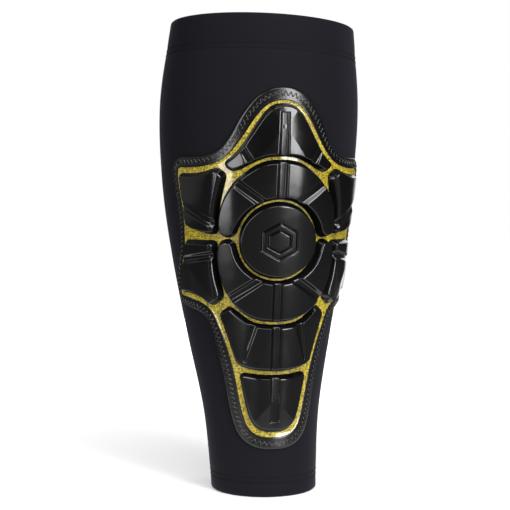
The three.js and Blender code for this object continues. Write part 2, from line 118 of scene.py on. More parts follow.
def panel_points(u, v, h):
    """Points of the flat drawing laid onto the leg, h along the surface's normal."""
    z = DISC_HEIGHT + v
    half = 0.5 * MM
    r = along_leg(LEG_RADIUS, z)
    angle = (u + PANEL_SHIFT + PANEL_LEAN * v) / r
    flare = (along_leg(LEG_RADIUS, z + half) - along_leg(LEG_RADIUS, z - half)) / (2 * half)
    drift = (along_leg(LEG_CENTRE, z + half) - along_leg(LEG_CENTRE, z - half)) / (2 * half)
    normal = np.stack((np.sin(angle), -np.cos(angle), drift * np.cos(angle) - flare), axis=-1)
    normal /= np.linalg.norm(normal, axis=-1, keepdims=True)
    on_face = np.stack((r * np.sin(angle), along_leg(LEG_CENTRE, z) - r * np.cos(angle), z), axis=-1)
    return on_face + normal * np.asarray(h)[..., None]


# ---- Working as by hand ----


def clear_selection():
    if bpy.context.object and bpy.context.object.mode != "OBJECT":
        bpy.ops.object.mode_set(mode="OBJECT")
    bpy.ops.object.select_all(action="DESELECT")


def take(piece):
    clear_selection()
    piece.select_set(True)
    bpy.context.view_layer.objects.active = piece


def edit_all(piece, kind="FACE"):
    take(piece)
    bpy.ops.object.mode_set(mode="EDIT")
    bpy.ops.mesh.select_mode(type=kind)
    bpy.ops.mesh.select_all(action="SELECT")


def leave():
    bpy.ops.object.mode_set(mode="OBJECT")


def named(name):
    piece = bpy.context.object
    piece.name = name
    piece.data.name = name
    return piece


def places(piece):
    co = np.empty(len(piece.data.vertices) * 3)
    piece.data.vertices.foreach_get("co", co)
    return co.reshape(-1, 3)


def move_to(piece, co):
    piece.data.vertices.foreach_set("co", np.asarray(co, float).ravel())
    piece.data.update()


def finish_with(piece, kind, **settings):
    """Adds a modifier and applies it."""
    take(piece)
    modifier = piece.modifiers.new(kind.lower(), kind)
    for key, value in settings.items():
        setattr(modifier, key, value)
    bpy.ops.object.modifier_apply(modifier=modifier.name)


def cut_lines(piece, lines):
    """Cuts edges right across a flat piece, each line by a point and the direction across it."""
    edit_all(piece)
    for point, across in lines:
        bpy.ops.mesh.select_all(action="SELECT")
        bpy.ops.mesh.bisect(plane_co=(*point, 0), plane_no=(*across, 0))
    leave()


def cut_grid(piece, across, along):
    """Edges at equal steps both ways, so that a flat face can bend round the leg."""
    low, high = places(piece).min(0), places(piece).max(0)
    lines = [((x, 0), (1, 0)) for x in np.arange(low[0] + across / 2, high[0], across)]
    lines += [((0, y), (0, 1)) for y in np.arange(low[1] + along / 2, high[1], along)]
    cut_lines(piece, lines)


def smooth(piece, degrees, weighted=True):
    take(piece)
    bpy.ops.object.shade_smooth_by_angle(angle=math.radians(degrees))
    if weighted:
        finish_with(piece, "WEIGHTED_NORMAL", keep_sharp=True, weight=80)


# ---- Flat outlines, in millimetres: [u, v] or [u, v, corner radius], anticlockwise ----
# A half outline runs down the -u side from the shin line back to the shin line.

WINDOW_HALF = [
    (0, 86), (-6, 85.1), (-11.6, 81.8), (-16.4, 76.2), (-20.4, 70.2), (-25, 62.8), (-29.8, 56.4), (-35, 51.4),
    (-41, 48.3), (-48, 46.5), (-57, 45.8), (-71, 46, 4),
    (-69.3, 34), (-66.8, 25), (-65, 16), (-64.2, 7), (-64.2, -2), (-65.6, -10), (-68, -17),
    (-70.6, -25), (-71.4, -36, 3),
    (-64, -36.8), (-57, -38.1), (-50, -39.8), (-45, -42), (-41, -45), (-38, -49.5), (-33.5, -59),
    (-30, -67), (-27.5, -74.5), (-25.3, -81.8), (-23.3, -90.5), (-20.6, -103), (-18.4, -111.5),
    (-15.8, -118.2), (-12, -122.4), (-6.5, -124.7), (0, -125.1),
]

TOP_CAP_HALF = [
    (0, 83.8), (-6, 82.8), (-10.5, 79.3), (-14, 74.8), (-19.5, 66), (-24, 58.8), (-29, 52.8),
    (-35.8, 47.8, 4), (-30.4, 42.8, 3),
    (-25, 44.2), (-17, 48.3), (-9, 51.4), (0, 52.2),
]

UPPER_ARC_HALF = [
    (0, 49.5), (-8, 48.9), (-14.5, 46.6), (-21, 42.3), (-26.5, 37.6), (-31, 32), (-34.5, 25.5),
    (-36.5, 18), (-37, 10.5), (-36, 5), (-33, 2.6), (-29, 2.4), (-26.2, 4.4),
    (-24.9, 7.5), (-22.6, 12.5), (-18.7, 17.8), (-13, 22.3), (-6.8, 24.9), (0, 25.8),
]

LOWER_ARC_HALF = [
    (0, -25.8), (-6.8, -24.9), (-13, -22.3), (-18.7, -17.8), (-22.6, -12.5), (-25, -6.6),
    (-26.2, -2.4), (-29, 0.2), (-33, 0.2), (-36, -2), (-37, -7), (-36.7, -13),
    (-35.2, -20.5), (-32.8, -28), (-29.5, -34.6), (-24.5, -41.2), (-18, -46.7), (-10, -50.2),
    (0, -51.1),
]

FAN_HALF = [
    (0, -53.5), (-6, -53.3), (-12, -52.3), (-17, -50), (-22, -46.3), (-28.4, -41.6, 3),
    (-35.3, -46.6, 3),
    (-32, -54), (-29, -61.5), (-26.3, -68.7), (-22.6, -78.6, 3),
    (-14, -81.3), (-7, -82.3), (0, -82.6),
]

TOE_HALF = [
    (0, -85.6), (-8, -85.4), (-21.2, -83.7, 4.5),
    (-19.6, -91), (-17.8, -99.5), (-15.6, -108.4), (-13, -115), (-9.3, -119.3), (-5, -121),
    (0, -121.4),
]

UPPER_WING = [
    (-39.2, 45.2, 3), (-43, 44), (-48, 42.6), (-55, 41.7), (-62, 41.6), (-68.8, 41.9, 3),
    (-67.4, 32.5), (-65.1, 24.5), (-63.3, 16), (-62.2, 9.2, 3),
    (-52, 6.2), (-45, 4.7), (-37.8, 4, 3),
    (-37.7, 11), (-37.4, 20), (-36, 28.5), (-33.2, 40.6, 3),
]

LOWER_WING = [
    (-38, -0.3, 3), (-62.5, -0.2, 3),
    (-63.7, -9), (-65.7, -15.5), (-68.1, -22.5), (-69.3, -33.9, 3),
    (-62, -33.8), (-55, -34.8), (-49, -36.5), (-44, -38.8), (-39.8, -41.8, 3),
    (-32.5, -36.4, 3), (-33.6, -31), (-35.3, -25), (-36.9, -17), (-37.8, -9),
]

OUTLINE_STEP = 1.6
CORNER_STEPS = 5


def whole_outline(half):
    return half + [(-p[0], *p[1:]) for p in reversed(half)][1:-1]


def curve_through(points, closed=False):
    """Many points along a smooth curve, equal steps of OUTLINE_STEP or a little less."""
    p = np.array([q[:2] for q in points], float)
    before = np.vstack((p[-1:], p[:-1])) if closed else np.vstack((p[:1], p[:-1]))
    after = np.vstack((p[1:], p[:1])) if closed else np.vstack((p[1:], p[-1:]))
    spans = len(p) if closed else len(p) - 1
    t = np.linspace(0, 1, 24, endpoint=False)[:, None]
    fine = []
    for i in range(spans):
        j = (i + 1) % len(p)
        a, b = (after[i] - before[i]) / 2, (after[j] - before[j]) / 2
        cubic = (2 * p[i] - 2 * p[j] + a + b) * t**3 + (3 * p[j] - 3 * p[i] - 2 * a - b) * t**2
        fine.append(cubic + a * t + p[i])
    fine = np.vstack(fine + [p[:1] if closed else p[-1:]])
    run = np.concatenate(([0], np.cumsum(np.linalg.norm(np.diff(fine, axis=0), axis=1))))
    return lambda s: np.stack([np.interp(s * run[-1], run, fine[:, k]) for k in (0, 1)], axis=-1), run[-1]


def outline(points):
    """A closed outline in metres: smooth between its corners, and rounded at them."""
    corners = [i for i, p in enumerate(points) if len(p) > 2]
    if not corners:
        at, length = curve_through(points, closed=True)
        steps = math.ceil(length / OUTLINE_STEP)
        return at(np.arange(steps) / steps) * MM
    turned = points[corners[0]:] + points[: corners[0] + 1]
    ends = [i for i, p in enumerate(turned) if len(p) > 2]
    sides = []
    for low, high in zip(ends, ends[1:]):
        at, length = curve_through(turned[low : high + 1])
        sides.append((at, turned[low][2] / length, 1 - turned[high][2] / length, length))
    loop = []
    for k, (at, start, end, length) in enumerate(sides):
        steps = math.ceil((end - start) * length / OUTLINE_STEP)
        loop.append(at(np.linspace(start, end, steps + 1)))
        following, begin = sides[(k + 1) % len(sides)][:2]
        a, corner, b = at(end), at(1.0), following(begin)
        t = np.arange(1, CORNER_STEPS)[:, None] / CORNER_STEPS
        loop.append((1 - t) ** 2 * a + 2 * t * (1 - t) * corner + t**2 * b)
    return np.vstack(loop) * MM


def moved_out(loop, distance):
    """The outline moved out by a distance, point for point."""
    a = loop - np.roll(loop, 1, 0)
    b = np.roll(loop, -1, 0) - loop
    a /= np.linalg.norm(a, axis=1, keepdims=True)
    b /= np.linalg.norm(b, axis=1, keepdims=True)
    along = a + b
    along /= np.linalg.norm(along, axis=1, keepdims=True)
    reach = distance / np.maximum(0.6, (along * a).sum(1, keepdims=True))
    return loop + np.stack((along[:, 1], -along[:, 0]), axis=1) * reach


# ---- Shared effects ----


def effect(name, inputs, outputs):
    """An empty shader node group with named sockets."""
    group = bpy.data.node_groups.new(name, "ShaderNodeTree")
    for label, kind, value in inputs:
        socket = group.interface.new_socket(label, in_out="INPUT", socket_type=kind)
        if value is not None:
            socket.default_value = value
    for label, kind in outputs:
        group.interface.new_socket(label, in_out="OUTPUT", socket_type=kind)
    return group, group.nodes.new("NodeGroupInput").outputs, group.nodes.new("NodeGroupOutput").inputs


def join(tree, value, socket):
    """Sets a socket, or links something to it."""
    if isinstance(value, bpy.types.NodeSocket):
        tree.links.new(value, socket)
    elif value is not None:
        socket.default_value = value


def maths(tree, operation, a, b=None, clamp=False):
    node = tree.nodes.new("ShaderNodeMath")
    node.operation = operation
    node.use_clamp = clamp
    join(tree, a, node.inputs[0])
    join(tree, b, node.inputs[1])
    return node.outputs[0]


def blended(tree, factor, a, b):
    node = tree.nodes.new("ShaderNodeMix")
    node.data_type = "RGBA"
    join(tree, factor, node.inputs["Factor"])
    join(tree, a, node.inputs[6])
    join(tree, b, node.inputs[7])
    return node.outputs[2]


def spread(tree, value, low, high, to_low, to_high):
    node = tree.nodes.new("ShaderNodeMapRange")
    for socket, number in zip(node.inputs, (value, low, high, to_low, to_high)):
        join(tree, number, socket)
    return node.outputs[0]


def noise(tree, vector, scale, detail=2.0, roughness=0.5):
    node = tree.nodes.new("ShaderNodeTexNoise")
    join(tree, vector, node.inputs["Vector"])
    join(tree, scale, node.inputs["Scale"])
    node.inputs["Detail"].default_value = detail
    node.inputs["Roughness"].default_value = roughness
    return node.outputs["Fac"]


def stretched(tree, vector, x=1.0, y=1.0, z=1.0):
    node = tree.nodes.new("ShaderNodeVectorMath")
    node.operation = "MULTIPLY"
    join(tree, vector, node.inputs[0])
    node.inputs[1].default_value = (x, y, z)
    return node.outputs[0]


def make_fine_knit():
    """Stockinette: columns of V stitches along UV, with some stitches prouder than others; its Shade output
    is painted shade, darker down between the stitches and lighter on their tops.
    """
    tree, given, out = effect(
        "fine_knit",
        [("Vector", "NodeSocketVector", None), ("Columns per Metre", "NodeSocketFloat", 900.0)],
        [("Height", "NodeSocketFloat"), ("Shade", "NodeSocketFloat")],
    )
    parts = tree.nodes.new("ShaderNodeSeparateXYZ")
    join(tree, given["Vector"], parts.inputs[0])
    across = maths(tree, "MULTIPLY", parts.outputs[0], given["Columns per Metre"])
    along = maths(tree, "MULTIPLY", parts.outputs[1], given["Columns per Metre"])
    column = maths(tree, "FRACT", across)
    from_middle = maths(tree, "ABSOLUTE", maths(tree, "SUBTRACT", column, 0.5))
    stitch = maths(tree, "FRACT", maths(tree, "ADD", along, maths(tree, "MULTIPLY", from_middle, 1.3)))
    leg = maths(tree, "SINE", maths(tree, "MULTIPLY", stitch, math.pi))
    rib = maths(tree, "SINE", maths(tree, "MULTIPLY", column, math.pi))
    fuzz = noise(tree, given["Vector"], 5200.0, 3.0)
    ridge = maths(tree, "ADD", maths(tree, "MULTIPLY", leg, 0.6), 0.4)
    height = maths(tree, "MULTIPLY", maths(tree, "POWER", rib, 0.6), ridge)
    join(tree, maths(tree, "ADD", height, maths(tree, "MULTIPLY", fuzz, 0.35)), out["Height"])
    # Painted shade: the Shade output follows the stitch height, darker between stitches and lighter on top,
    # with a random fuzz in it.
    join(tree, maths(tree, "MULTIPLY", height, maths(tree, "ADD", fuzz, 0.5), clamp=True), out["Shade"])
    return tree


def make_moulded_skin():
    """The long faint waves and fine dust of a glossy moulded face."""
    tree, given, out = effect(
        "moulded_skin",
        [("Vector", "NodeSocketVector", None), ("Wave Scale", "NodeSocketFloat", 90.0),
         ("Dust", "NodeSocketFloat", 0.5)],
        [("Height", "NodeSocketFloat"), ("Dust", "NodeSocketFloat"), ("Haze", "NodeSocketFloat")],
    )
    waves = noise(tree, given["Vector"], given["Wave Scale"], 2.0, 0.4)
    grain = noise(tree, given["Vector"], 2400.0, 2.0)
    join(tree, maths(tree, "ADD", waves, maths(tree, "MULTIPLY", grain, 0.03)), out["Height"])
    specks = spread(tree, noise(tree, given["Vector"], 1500.0, 3.0, 0.7), 0.66, 0.78, 0.0, 1.0)
    patches = spread(tree, noise(tree, given["Vector"], 60.0, 3.0), 0.4, 0.7, 0.0, 1.0)
    dust = maths(tree, "MULTIPLY", maths(tree, "MULTIPLY", specks, patches), given["Dust"], clamp=True)
    join(tree, dust, out["Dust"])
    join(tree, spread(tree, noise(tree, given["Vector"], 45.0, 4.0, 0.6), 0.3, 0.7, 0.0, 1.0), out["Haze"])
    return tree


def make_heather():
    """Two shades of short fibres, mostly along the leg."""
    tree, given, out = effect(
        "heather",
        [("Vector", "NodeSocketVector", None), ("Fibres per Metre", "NodeSocketFloat", 1500.0)],
        [("Fibres", "NodeSocketFloat"), ("Height", "NodeSocketFloat")],
    )
    up, across = (
        noise(tree, stretched(tree, given["Vector"], *shape), given["Fibres per Metre"], 3.0, 0.65)
        for shape in ((1.0, 1.0, 0.3), (0.3, 0.3, 1.0))
    )
    both = maths(tree, "MAXIMUM", up, across)
    join(tree, spread(tree, both, 0.47, 0.62, 0.0, 1.0), out["Fibres"])
    join(tree, both, out["Height"])
    return tree


FINE_KNIT = make_fine_knit()
MOULDED_SKIN = make_moulded_skin()
HEATHER = make_heather()


class Finish:
    """One material: its tree, its shader, and the coordinates its patterns read."""

    def __init__(self, name, roughness, uv=False):
        self.material = bpy.data.materials.new(name)
        self.material.use_nodes = True
        self.tree = self.material.node_tree
        self.shader = self.tree.nodes["Principled BSDF"]
        self.shader.inputs["Roughness"].default_value = roughness
        texture = self.tree.nodes.new("ShaderNodeTexCoord")
        self.vector = texture.outputs["UV" if uv else "Object"]

    def set(self, label, value):
        join(self.tree, value, self.shader.inputs[label])

    def use(self, group, **values):
        node = self.tree.nodes.new("ShaderNodeGroup")
        node.node_tree = group
        join(self.tree, self.vector, node.inputs["Vector"])
        for key, value in values.items():
            join(self.tree, value, node.inputs[key.replace("_", " ")])
        return node.outputs

    def bump(self, height, distance, strength):
        node = self.tree.nodes.new("ShaderNodeBump")
        node.inputs["Strength"].default_value = strength
        node.inputs["Distance"].default_value = distance
        join(self.tree, height, node.inputs["Height"])
        return node.outputs[0]


def sleeve_knit():
    finish = Finish("sleeve_knit", 0.8, uv=True)
    tree = finish.tree
    knit = finish.use(FINE_KNIT, Columns_per_Metre=1250.0)
    patches = noise(tree, finish.vector, 40.0, 4.0, 0.6)
    # Painted shade: the knit's colour is darker down between the stitches and lighter on their tops, times a
    # random patchy tone.
    stitch_shade_and_tone = maths(tree, "MULTIPLY", knit["Shade"], spread(tree, patches, 0.3, 0.7, 0.75, 1.0))
    finish.set("Base Color", blended(tree, stitch_shade_and_tone, (0.0035, 0.0035, 0.006, 1), (0.013, 0.013, 0.021, 1)))
    finish.set("Normal", finish.bump(knit["Height"], 0.00025, 0.7))
    finish.set("Roughness", spread(tree, patches, 0.3, 0.7, 0.72, 0.86))
    finish.set("Specular IOR Level", 0.12)
    finish.set("Sheen Weight", 0.05)
    finish.set("Sheen Roughness", 0.45)
    finish.set("Sheen Tint", (0.72, 0.74, 0.9, 1))
    return finish.material


def pad_gloss():
    finish = Finish("pad_gloss", 0.2)
    tree = finish.tree
    skin = finish.use(MOULDED_SKIN, Wave_Scale=55.0, Dust=0.25)
    finish.set("Base Color", blended(tree, skin["Dust"], (0.003, 0.003, 0.0034, 1), (0.03, 0.03, 0.034, 1)))
    finish.set("Roughness", spread(tree, skin["Haze"], 0.0, 1.0, 0.11, 0.18))
    finish.set("Normal", finish.bump(skin["Height"], 0.0006, 0.2))
    finish.set("Specular IOR Level", 0.55)
    return finish.material


def border_film():
    finish = Finish("border_film", 0.25)
    tree = finish.tree
    skin = finish.use(MOULDED_SKIN, Wave_Scale=140.0, Dust=0.4)
    finish.set("Base Color", blended(tree, skin["Dust"], (0.0035, 0.0035, 0.004, 1), (0.03, 0.03, 0.033, 1)))
    finish.set("Roughness", spread(tree, skin["Haze"], 0.0, 1.0, 0.18, 0.28))
    finish.set("Normal", finish.bump(skin["Height"], 0.0005, 0.4))
    finish.set("Specular IOR Level", 0.5)
    return finish.material


def heather_yellow():
    finish = Finish("heather_yellow", 0.5)
    tree = finish.tree
    cloth = finish.use(HEATHER, Fibres_per_Metre=1300.0)
    weave = blended(tree, cloth["Fibres"], (0.12, 0.085, 0.004, 1), (0.6, 0.47, 0.02, 1))
    # The cloth is dark to glossy rays, so that the pads' black walls mirror little of its yellow.
    path = tree.nodes.new("ShaderNodeLightPath")
    finish.set("Base Color", blended(tree, path.outputs["Is Glossy Ray"], weave, (0.02, 0.016, 0.002, 1)))
    finish.set("Normal", finish.bump(cloth["Height"], 0.0002, 0.3))
    finish.set("Coat Weight", 1.0)
    finish.set("Coat Roughness", 0.09)
    finish.set("Coat IOR", 1.6)
    return finish.material


def black_thread(name, tint, roughness, gloss):
    finish = Finish(name, roughness)
    tree = finish.tree
    fibre = noise(tree, finish.vector, 1800.0, 2.0, 0.6)
    dark = tuple(0.4 * c for c in tint)
    finish.set("Base Color", blended(tree, spread(tree, fibre, 0.35, 0.65, 0.0, 1.0), (*dark, 1), (*tint, 1)))
    finish.set("Normal", finish.bump(fibre, 0.00008, 0.4))
    finish.set("Specular IOR Level", gloss)
    return finish.material


def elastic_weave():
    finish = Finish("elastic_weave", 0.7)
    tree = finish.tree
    wave = tree.nodes.new("ShaderNodeTexWave")
    wave.bands_direction = "Z"
    join(tree, finish.vector, wave.inputs["Vector"])
    wave.inputs["Scale"].default_value = 400.0
    wave.inputs["Distortion"].default_value = 0.6
    ridge = wave.outputs["Fac"]
    finish.set("Base Color", blended(tree, ridge, (0.008, 0.008, 0.01, 1), (0.04, 0.04, 0.046, 1)))
    finish.set("Normal", finish.bump(ridge, 0.0003, 0.7))
    return finish.material


SLEEVE_KNIT = sleeve_knit()
PAD_GLOSS = pad_gloss()
BORDER_FILM = border_film()
HEATHER_YELLOW = heather_yellow()
HEM_THREAD = black_thread("hem_thread", (0.009, 0.009, 0.013), 0.8, 0.1)
BORDER_THREAD = black_thread("border_thread", (0.005, 0.005, 0.005), 0.16, 0.8)
ELASTIC_WEAVE = elastic_weave()


def dress(piece, material):
    piece.data.materials.clear()
    piece.data.materials.append(material)


# ---- Sleeve ----

SLEEVE_SIDES = 192
SLEEVE_STEP = 4 * MM
FOLD_STEPS = 6
GIRTH_PER_TURN = 0.36  # the knit's width on UV, all round
ROW_HALF = 0.7 * MM  # rows of vertices stand this far to both sides of a stitch row
ROW_CLEAR = 1.4 * MM  # and the even rows stay this far off it
ROW_SINK, ROW_SOFTNESS = 0.2, 0.8 * MM  # depth of the dent in millimetres, and its reach
HEM_PUFF = 0.25  # millimetres that the doubled cloth stands out
SEAM_RIDGE, SEAM_SOFTNESS = 0.4, 2.4 * MM
CALF_FROM, CALF_TO = 1.45, 2.1  # the cloth ripples behind these angles from the shin line


def sleeve_profile():
    """Height and distance out of each row: inside the ankle hem, round it, up, and round into the top hem."""
    turn = HEM_FOLD / 2
    angles = np.linspace(0, math.pi, FOLD_STEPS + 1)
    ankle = [(z, -HEM_FOLD) for z in np.linspace(ANKLE_HEM, turn, 5)[:-1]]
    ankle += [(turn - turn * math.sin(a), -turn - turn * math.cos(a)) for a in angles]
    rows = [*np.arange(turn + SLEEVE_STEP / 2, HEIGHT - turn - SLEEVE_STEP / 2, SLEEVE_STEP)]
    for row in HEM_ROWS:
        rows = [z for z in rows if abs(z - row) > ROW_CLEAR] + [row - ROW_HALF, row, row + ROW_HALF]
    outside = [(z, 0.0) for z in sorted(rows)]
    top = [(HEIGHT - turn + turn * math.sin(a), -turn + turn * math.cos(a)) for a in angles]
    top += [(z, -HEM_FOLD) for z in np.linspace(HEIGHT - turn, HEIGHT - TOP_HEM, 6)[1:]]
    return ankle + outside + top


def cloth_relief(angle, z, out):
    """How far the cloth stands off its even shape: stitch rows sink, hems puff, and the back ripples."""
    outer = ease(-1.2 * MM, -0.4 * MM, out)
    sink = sum(np.exp(-(((z - row) / ROW_SOFTNESS) ** 2)) for row in HEM_ROWS)
    puff = ease(HEIGHT - TOP_HEM + 4 * MM, HEIGHT - 9 * MM, z) + 1 - ease(0, ANKLE_HEM - 5 * MM, z)
    behind = ease(CALF_FROM, CALF_TO, np.abs(angle))
    ripple = 0.3 * np.sin(5 * angle + 40 * z) * np.sin(9 * angle - 31 * z)
    ripple += 0.2 * np.sin(14 * angle + 22 * z)
    from_seam = (np.abs(angle) - math.pi) * along_leg(LEG_RADIUS, z)
    seam = SEAM_RIDGE * np.exp(-((from_seam / SEAM_SOFTNESS) ** 2))
    return MM * (outer * (HEM_PUFF * puff - ROW_SINK * sink + seam) + behind * ripple)


def knit_map(piece):
    """UV in metres of cloth: round the leg from the back seam, and up the leg."""
    co = places(piece)
    angle = np.arctan2(co[:, 0], along_leg(LEG_CENTRE, co[:, 2]) - co[:, 1])
    layer = piece.data.uv_layers.new(name="knit")
    for face in piece.data.polygons:
        turns = [angle[i] / (2 * math.pi) for i in face.vertices]
        if max(turns) - min(turns) > 0.5:
            turns = [t + 1 if t < 0 else t for t in turns]
        for loop, i, t in zip(face.loop_indices, face.vertices, turns):
            layer.data[loop].uv = (t * GIRTH_PER_TURN, co[i, 2])


def make_sleeve():
    profile = sleeve_profile()
    clear_selection()
    bpy.ops.mesh.primitive_circle_add(vertices=SLEEVE_SIDES, radius=0.05, fill_type="NOTHING")
    sleeve = named("knit_sleeve")
    ring = places(sleeve)
    angle = np.arctan2(ring[:, 0], -ring[:, 1])
    height, out = profile[0]
    move_to(sleeve, sleeve_points(angle, np.full_like(angle, height), out) * (1, 1, 0) + (0, 0, height))
    edit_all(sleeve, "EDGE")
    radius, centre = along_leg(LEG_RADIUS, height) + out, along_leg(LEG_CENTRE, height)
    for z, out in profile[1:]:
        step = (0, float(along_leg(LEG_CENTRE, z) - centre), z - height)
        height, centre = z, along_leg(LEG_CENTRE, z)
        bpy.ops.mesh.extrude_edges_move(TRANSFORM_OT_translate={"value": step})
        grow = float((along_leg(LEG_RADIUS, z) + out) / radius)
        radius *= grow
        bpy.ops.transform.resize(value=(grow, grow, 1), center_override=(0, float(centre), z))
    bpy.ops.mesh.select_all(action="SELECT")
    bpy.ops.mesh.normals_make_consistent(inside=False)
    leave()
    co = places(sleeve)
    centre = along_leg(LEG_CENTRE, co[:, 2])
    angle = np.arctan2(co[:, 0], centre - co[:, 1])
    out = np.hypot(co[:, 0], co[:, 1] - centre) - along_leg(LEG_RADIUS, co[:, 2])
    knit_map(sleeve)
    move_to(sleeve, sleeve_points(angle, co[:, 2], out + cloth_relief(angle, co[:, 2], out)))
    finish_with(sleeve, "SOLIDIFY", thickness=CLOTH, offset=-1)
    smooth(sleeve, 60, weighted=False)
    dress(sleeve, SLEEVE_KNIT)
    return sleeve


# ---- Threads ----


def thread(name, points, radius, material, closed=True):
    """A thin round thread along points."""
    curve = bpy.data.curves.new(name, "CURVE")
    curve.dimensions = "3D"
    curve.bevel_depth = radius
    curve.bevel_resolution = 1
    curve.use_fill_caps = True
    spline = curve.splines.new("POLY")
    spline.points.add(len(points) - 1)
    spline.points.foreach_set("co", np.column_stack((points, np.ones(len(points)))).ravel())
    spline.use_cyclic_u = closed
    piece = bpy.data.objects.new(name, curve)
    bpy.context.collection.objects.link(piece)
    take(piece)
    bpy.ops.object.convert(target="MESH")
    piece = named(name)
    smooth(piece, 80, weighted=False)
    dress(piece, material)
    return piece


def hem_row(name, z, stitch=2 * MM):
    """Dashes of needle thread, each dipping into the cloth at both ends."""
    count = round(2 * math.pi * float(along_leg(LEG_RADIUS, z)) / stitch)
    share = (np.arange(count)[:, None] + (0, 0.2, 0.5, 0.8)).ravel() / count
    rise = np.tile((-0.6, 0.06, 0.16, 0.06), count) * MM
    angle = share * 2 * math.pi - math.pi
    level = np.full_like(angle, z)
    points = sleeve_points(angle, level, cloth_relief(angle, level, 0.0) + rise)
    return thread(name, points, THREAD_RADIUS, HEM_THREAD)


def back_seam():
    """A flat overlocked seam: thread crossing it from side to side all the way up."""
    step = 1.3 * MM
    count = int((SEAM_HIGH - SEAM_LOW) / step)
    k = np.arange(count)
    z = SEAM_LOW + np.repeat(k, 3) * step + np.tile((0, 0.25, 0.75), count) * step
    side = np.where(k % 2, 1.0, -1.0)
    reach = (side[:, None] * (1.0, 0.7, -0.7)).ravel() * SEAM_HALF
    rise = np.tile((-0.1, 0.35, 0.35), count) * MM
    angle = math.pi + reach / along_leg(LEG_RADIUS, z)
    sunk = cloth_relief(np.arctan2(np.sin(angle), np.cos(angle)), z, 0.0)
    points = sleeve_points(angle, z, sunk + rise)
    return thread("back_seam_stitching", points, THREAD_RADIUS, HEM_THREAD, closed=False)


# ---- Panel ----


def drawn(loop, name, height):
    """A flat face of the outline."""
    clear_selection()
    bpy.ops.mesh.primitive_circle_add(vertices=len(loop), radius=0.03, fill_type="NGON")
    piece = named(name)
    move_to(piece, np.column_stack((loop, np.full(len(loop), height))))
    return piece


def lay_on_leg(piece, share=None):
    """Lays a flat piece on the leg; share gives how much of its height it keeps from place to place."""
    co = places(piece)
    h = co[:, 2]
    if share is not None:
        low = h.min()
        h = low + (h - low) * share(co[:, 0], co[:, 1])
    move_to(piece, panel_points(co[:, 0], co[:, 1], h))


FILM_FALLS = (0.15, 0.1, 0.06, 0.03)  # millimetres down from the border, at equal steps in
FILM_STEP = 0.45 * MM


def make_backing():
    """The cloth, with its film curving up to meet the border."""
    backing = drawn(moved_out(WINDOW, -0.1 * MM), "backing_cloth", BACKING_LOW)
    edit_all(backing)
    rise = BACKING_TOP - BACKING_LOW + sum(FILM_FALLS) * MM
    bpy.ops.mesh.extrude_region_move(TRANSFORM_OT_translate={"value": (0, 0, rise)})
    for fall in FILM_FALLS:
        bpy.ops.mesh.inset(thickness=FILM_STEP, depth=-fall * MM)
    bpy.ops.mesh.select_all(action="SELECT")
    bpy.ops.mesh.normals_make_consistent(inside=False)
    leave()
    cut_grid(backing, 3 * MM, 6 * MM)
    lay_on_leg(backing)
    smooth(backing, 50)
    dress(backing, HEATHER_YELLOW)
    return backing


FLANGE_SECTION = (  # millimetres out from the window, height above the sleeve
    (0.0, 0.1), (0.0, 1.6), (0.1, 1.76), (0.35, 1.84), (0.9, 1.85), (1.7, 1.82), (2.4, 1.76),
    (3.8, 1.72), (5.2, 1.7), (6.0, 1.66), (6.6, 1.56), (7.0, 1.35), (7.3, 0.95), (7.5, 0.5), (7.6, 0.1),
)
ZIGZAG_HEIGHT = 1.7 * MM
# The flange keeps the first share of its section's width below the first |v|, in millimetres, and the second
# share beyond the second.
WIDER_ENDS = (50, 75, 0.88, 1.06)


def flange_ring(out):
    """The window's outline moved out to a part of the flange's section."""
    low, high, narrow, wide = WIDER_ENDS
    width = narrow + (wide - narrow) * ease(low * MM, high * MM, np.abs(WINDOW[:, 1:]))
    return moved_out(WINDOW, out * width)


def make_flange():
    """A loop of film round the window, extruded along its section from its inner edge out."""
    n = len(WINDOW)
    clear_selection()
    bpy.ops.mesh.primitive_circle_add(vertices=n, radius=0.03, fill_type="NOTHING")
    flange = named("film_border")
    move_to(flange, np.column_stack((WINDOW, np.full(n, FLANGE_SECTION[0][1] * MM))))
    edit_all(flange, "EDGE")
    for _ in FLANGE_SECTION[1:]:
        bpy.ops.mesh.extrude_edges_move(TRANSFORM_OT_translate={"value": (0, 0, 0.1 * MM)})
    leave()
    rings = [np.column_stack((flange_ring(d * MM), np.full(n, h * MM))) for d, h in FLANGE_SECTION]
    move_to(flange, np.vstack(rings))
    edit_all(flange, "EDGE")
    bpy.ops.mesh.select_all(action="DESELECT")
    bpy.ops.mesh.select_non_manifold(extend=False, use_boundary=True)
    bpy.ops.mesh.bridge_edge_loops()
    bpy.ops.mesh.select_all(action="SELECT")
    bpy.ops.mesh.normals_make_consistent(inside=False)
    leave()
    lay_on_leg(flange)
    smooth(flange, 60)
    dress(flange, BORDER_FILM)
    return flange


def evenly(loop, step):
    """Points at equal steps round a closed loop, an even number of them, and the way out at each."""
    closed = np.vstack((loop, loop[:1]))
    run = np.concatenate(([0], np.cumsum(np.linalg.norm(np.diff(closed, axis=0), axis=1))))
    count = 2 * round(run[-1] / step / 2)
    s = np.arange(count) / count * run[-1]
    points = np.stack([np.interp(s, run, closed[:, k]) for k in (0, 1)], axis=-1)
    along = np.roll(points, -1, 0) - np.roll(points, 1, 0)
    along /= np.linalg.norm(along, axis=1, keepdims=True)
    return points, np.stack((along[:, 1], -along[:, 0]), axis=1)


